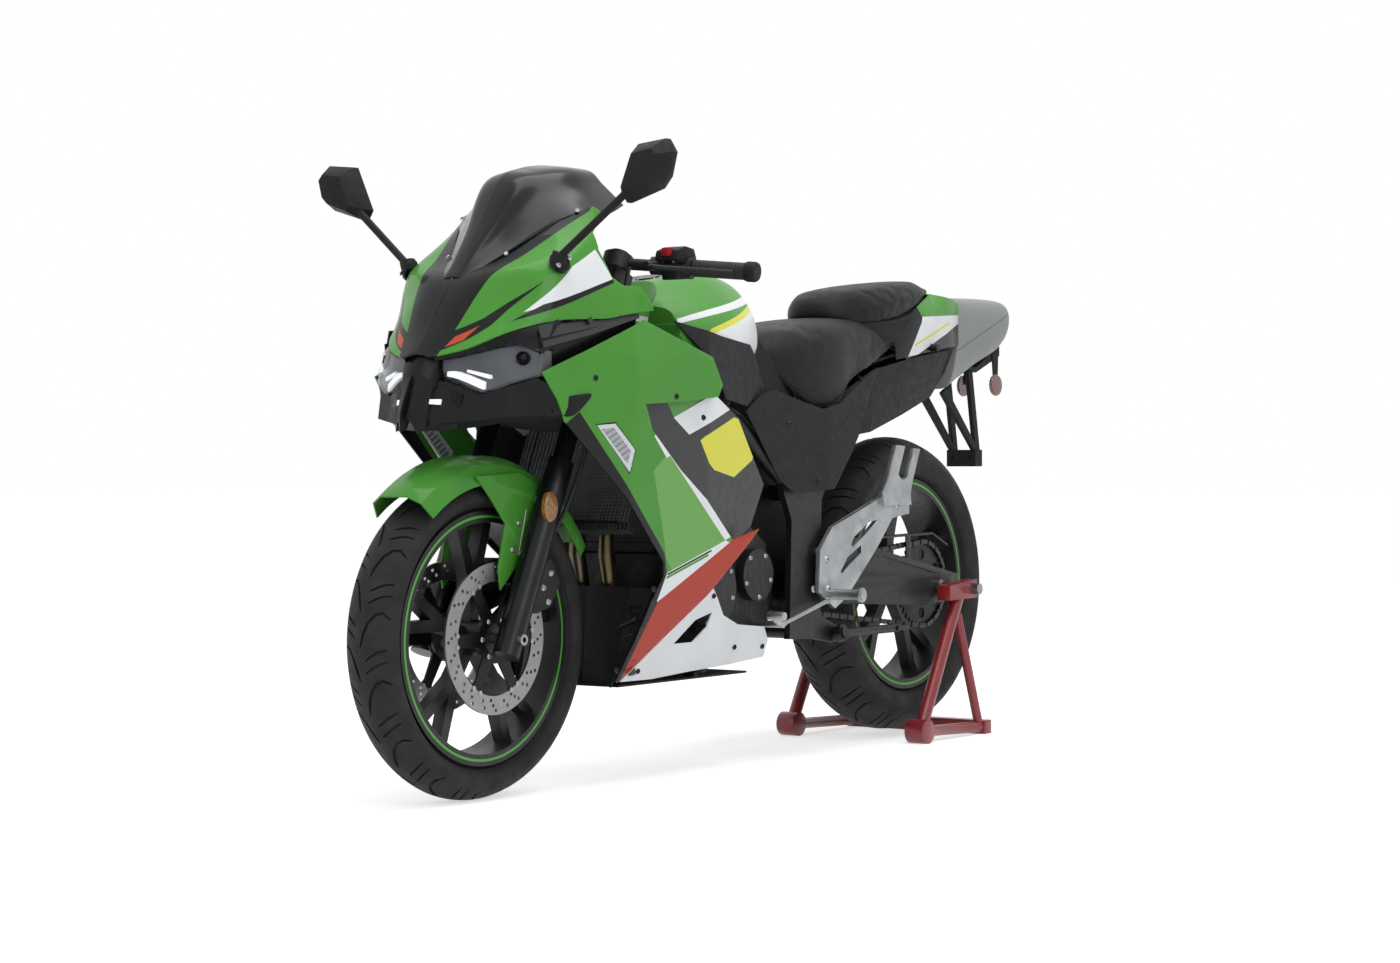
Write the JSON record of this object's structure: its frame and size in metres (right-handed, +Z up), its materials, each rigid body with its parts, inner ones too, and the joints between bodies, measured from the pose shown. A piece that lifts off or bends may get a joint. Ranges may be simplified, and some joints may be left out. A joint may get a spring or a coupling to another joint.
{
  "type": "sport motorcycle",
  "caption": "Faired sport bike with clip-on bars, twin front discs, chain drive, stepped seats and raised tail, held level by a rear paddock stand.",
  "frame": {"origin": "on the floor, under the middle of the bike's bounding box", "axes": "+X towards the front wheel, +Y to the rider's left, +Z up"},
  "size_m": [2.139, 0.826, 1.174],
  "materials": {
    "tyre_rubber": "matt",
    "black_alloy": "satin",
    "disc_steel": "satin",
    "chain_steel": "oiled",
    "bright_steel": "satin",
    "caliper_alloy": "cast",
    "hose_rubber": "matt",
    "frame_paint": "satin",
    "engine_alloy": "cast",
    "header_steel": "heat tinted",
    "radiator_alloy": "matt",
    "green_panel": "gloss",
    "white_panel": "gloss",
    "grey_panel": "gloss",
    "green_tank": "gloss",
    "black_plastic": "matt",
    "grey_plastic": "satin",
    "smoke_screen": "smoked gloss",
    "clear_lens": "gloss",
    "red_lens": "gloss",
    "seat_vinyl": "matt grained",
    "stand_red": "gloss"
  },
  "bodies": {
    "chassis": {"main_frame": "frame_paint", "cowl_stay": "frame_paint", "subframe": "frame_paint", "engine": "engine_alloy", "exhaust": "header_steel", "radiator": "radiator_alloy", "upper_cowl": "green_panel", "windscreen": "smoke_screen", "inner_panels": "black_plastic", "front_lamps": "clear_lens", "chin_cowl": "black_plastic", "side_fairings": "green_panel", "belly_pans": "white_panel", "lower_grille": "black_plastic", "fuel_tank": "green_tank", "side_covers": "grey_plastic", "rider_seat": "seat_vinyl", "pillion_seat": "seat_vinyl", "tail_cowl": "green_panel", "tail_end": "grey_panel", "tail_lamp": "red_lens", "under_tail": "black_plastic", "plate_bracket": "black_plastic", "swingarm": "frame_paint", "shock": "disc_steel", "chain": "chain_steel", "rearsets": "caliper_alloy", "rear_caliper": "caliper_alloy", "mirrors": "black_plastic", "dash": "black_plastic", "paddock_stand": "stand_red", "axles_and_spools": "bright_steel"},
    "fork": {"fork_legs": "black_alloy", "yokes": "black_alloy", "handlebars": "black_alloy", "front_fender": "green_panel", "front_axle": "bright_steel", "front_calipers": "caliper_alloy", "brake_hoses": "hose_rubber"},
    "front_wheel": {"front_tyre": "tyre_rubber", "front_rim": "black_alloy", "front_discs": "disc_steel"},
    "rear_wheel": {"rear_tyre": "tyre_rubber", "rear_rim": "black_alloy", "rear_disc": "disc_steel", "sprocket": "disc_steel"},
    "side_stand": {"side_stand": "frame_paint"},
    "fuel_lid": {"fuel_lid": "bright_steel"}
  },
  "joints": [
    {"name": "steering", "type": "hinge", "parent": "chassis", "child": "fork", "pos_m": [0.7415, 0, 0.293], "axis": [-0.4226, 0, 0.9063], "range_deg": [-27, 27]},
    {"name": "front_wheel_spin", "type": "hinge", "parent": "fork", "child": "front_wheel", "pos_m": [0.7765, 0, 0.293], "axis": [0, 1, 0], "continuous": true},
    {"name": "rear_wheel_spin", "type": "hinge", "parent": "chassis", "child": "rear_wheel", "pos_m": [-0.6335, 0, 0.334], "axis": [0, 1, 0], "continuous": true},
    {"name": "side_stand_swing", "type": "hinge", "parent": "chassis", "child": "side_stand", "pos_m": [-0.2235, 0.15, 0.25], "axis": [0, -0.9703, -0.2419], "range_deg": [0, 100]},
    {"name": "fuel_lid_hinge", "type": "hinge", "parent": "chassis", "child": "fuel_lid", "pos_m": [0.2712, 0, 0.95784], "axis": [0, 1, 0], "range_deg": [0, 85]}
  ]
}
